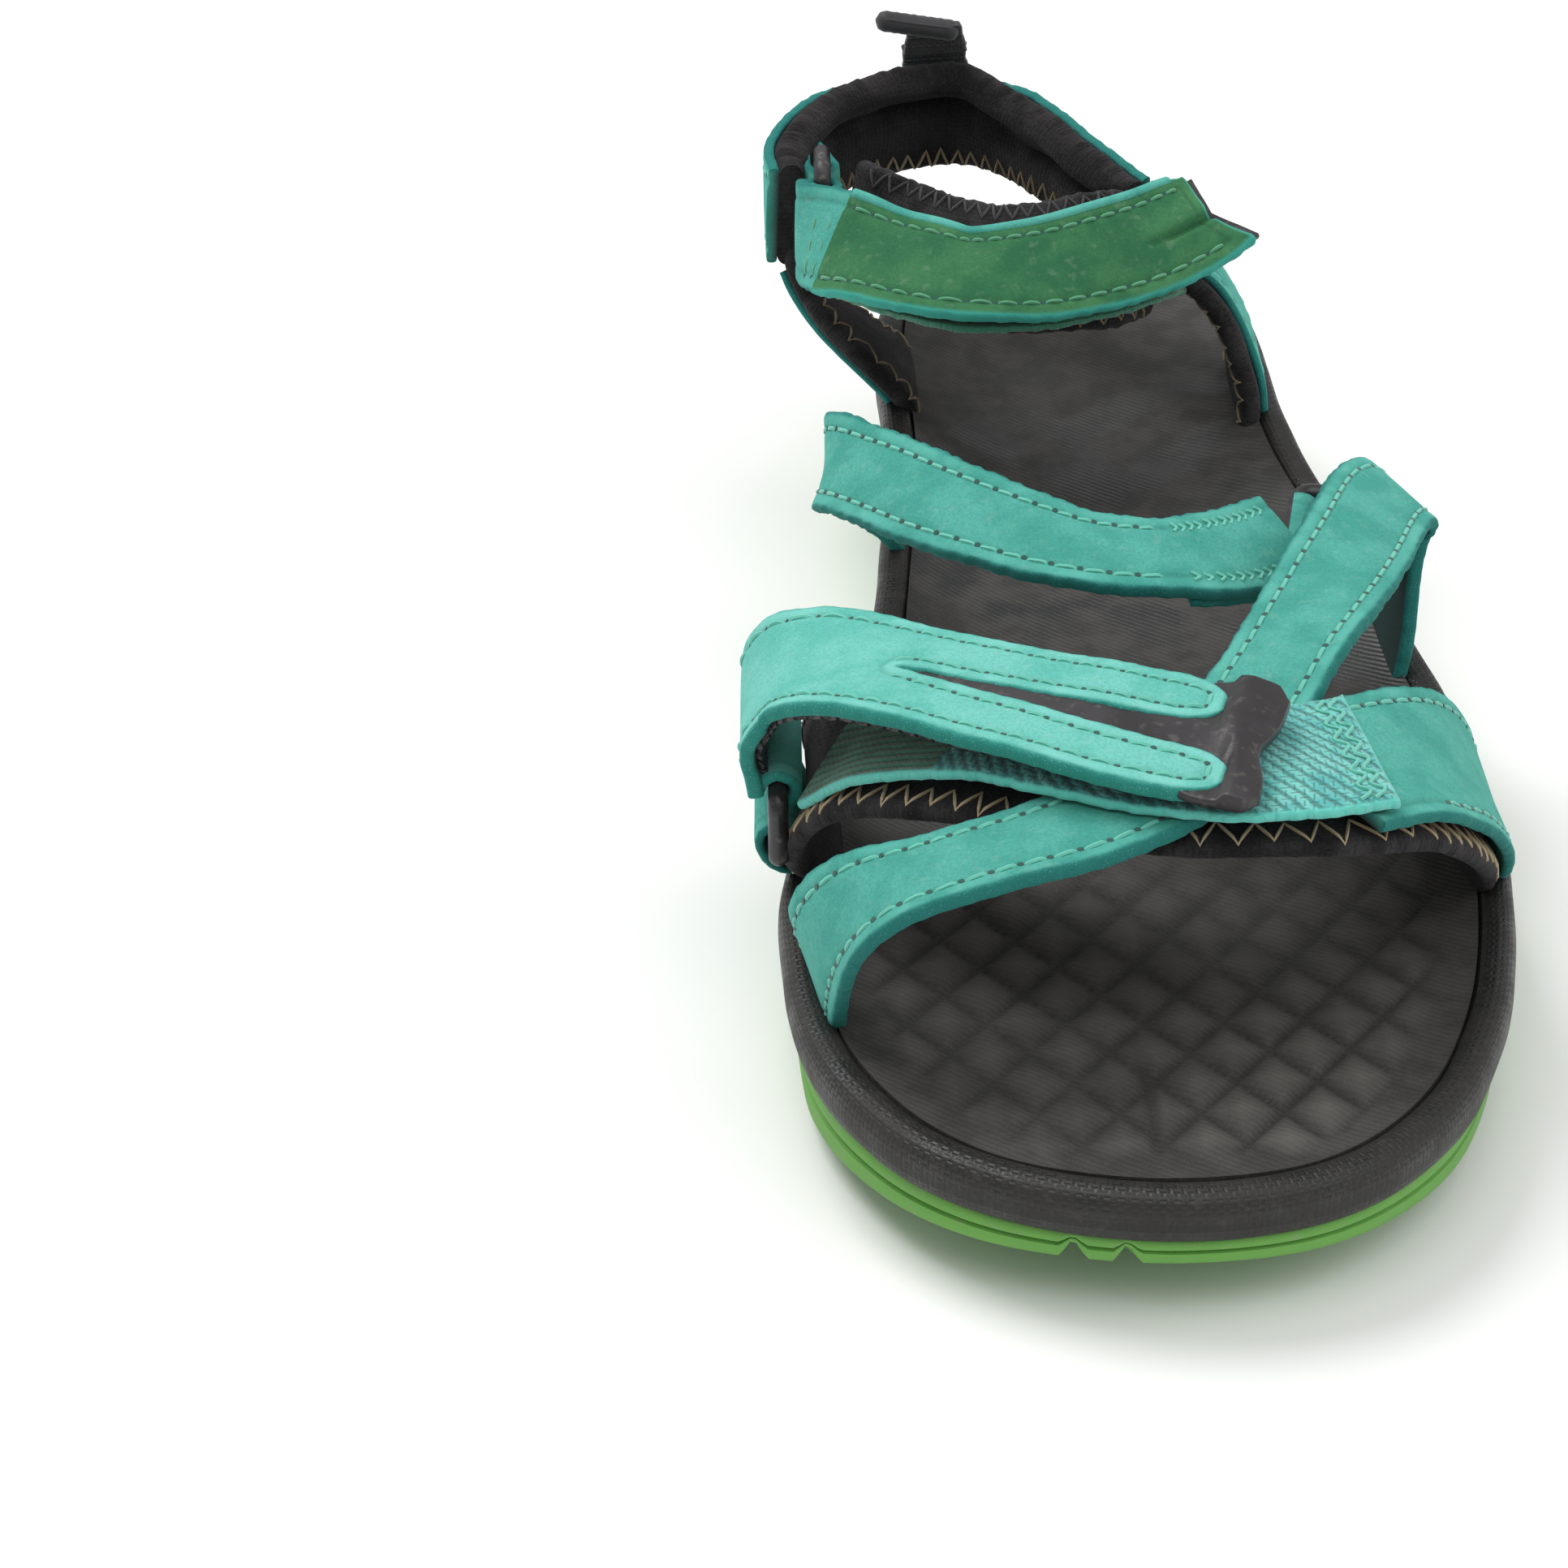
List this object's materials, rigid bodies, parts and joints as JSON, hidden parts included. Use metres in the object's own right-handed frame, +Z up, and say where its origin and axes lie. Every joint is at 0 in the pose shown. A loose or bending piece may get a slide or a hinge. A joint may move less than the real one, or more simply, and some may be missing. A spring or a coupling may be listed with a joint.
{
  "type": "strappy sport sandal",
  "caption": "Left sport sandal: moulded sole unit with a textile footbed, nubuck straps over neoprene, two hook-and-loop closures on moulded rings and a padded heel collar with a pull tab.",
  "frame": {"origin": "on the tread, on the ground, under the middle of the foot", "axes": "+Y towards the heel, -Y towards the toe, +X towards the outer side of the foot, +Z up"},
  "size_m": [0.0983, 0.255, 0.08],
  "materials": {
    "nubuck": "turquoise nubuck with a short nap and darker cut edges",
    "neoprene": "black neoprene with a knitted face and zigzag edge stitching",
    "loop_web": "ribbed turquoise loop webbing",
    "ankle_web": "ribbed green loop webbing",
    "hook_black": "black moulded hooks",
    "moulded_black": "dark moulded plastic, satin",
    "webbing_black": "black woven webbing",
    "sole_green": "lime green rubber and foam, matte",
    "rand": "dark brown-black knurled rubber",
    "footbed_foam": "dark grey moulded foam",
    "footbed_textile": "charcoal woven textile with an embossed lattice",
    "shank": "plain nylon plate",
    "cushion_foam": "soft foam"
  },
  "bodies": {
    "root": {"outsole": "sole_green", "midsole": "sole_green", "arch_shank": "shank", "heel_cushion": "cushion_foam", "edge_rand": "rand", "footbed": "footbed_foam", "footbed_cover": "footbed_textile", "toe_strap": "nubuck", "instep_strap": "nubuck", "instep_ring": "moulded_black", "forefoot_lining": "neoprene", "forefoot_panel": "nubuck", "forefoot_loop_web": "loop_web", "forefoot_ring": "moulded_black", "forefoot_anchor": "nubuck", "ankle_lining": "neoprene", "ankle_loop_web": "ankle_web", "ankle_ring": "moulded_black", "ankle_anchor": "nubuck", "heel_lining": "neoprene", "lateral_strut": "neoprene", "lateral_strut_cover": "nubuck", "medial_strut": "neoprene", "medial_strut_cover": "nubuck", "heel_cover_medial": "nubuck", "heel_cover_lateral": "nubuck", "pull_tab_base": "webbing_black"},
    "forefoot_flap": {"forefoot_closure": "nubuck", "forefoot_hook_patch": "hook_black", "forefoot_tab": "moulded_black"},
    "ankle_flap": {"ankle_closure": "nubuck", "ankle_hook_patch": "hook_black", "ankle_tab": "moulded_black"},
    "pull_tab": {"pull_tab": "webbing_black"}
  },
  "joints": [
    {"name": "forefoot_closure_fold", "type": "hinge", "parent": "root", "child": "forefoot_flap", "pos_m": [-0.0436, -0.04615, 0.03487], "axis": [0, -0.9925, -0.1219], "range_deg": [0, 115]},
    {"name": "ankle_closure_fold", "type": "hinge", "parent": "root", "child": "ankle_flap", "pos_m": [-0.0356, 0.074, 0.0563], "axis": [0, 0, -1], "range_deg": [0, 100]},
    {"name": "pull_tab_flex", "type": "hinge", "parent": "root", "child": "pull_tab", "pos_m": [-0.0155, 0.109, 0.0725], "axis": [1, 0, 0], "range_deg": [-45, 30], "stiffness_Nm_per_rad": 0.001}
  ]
}
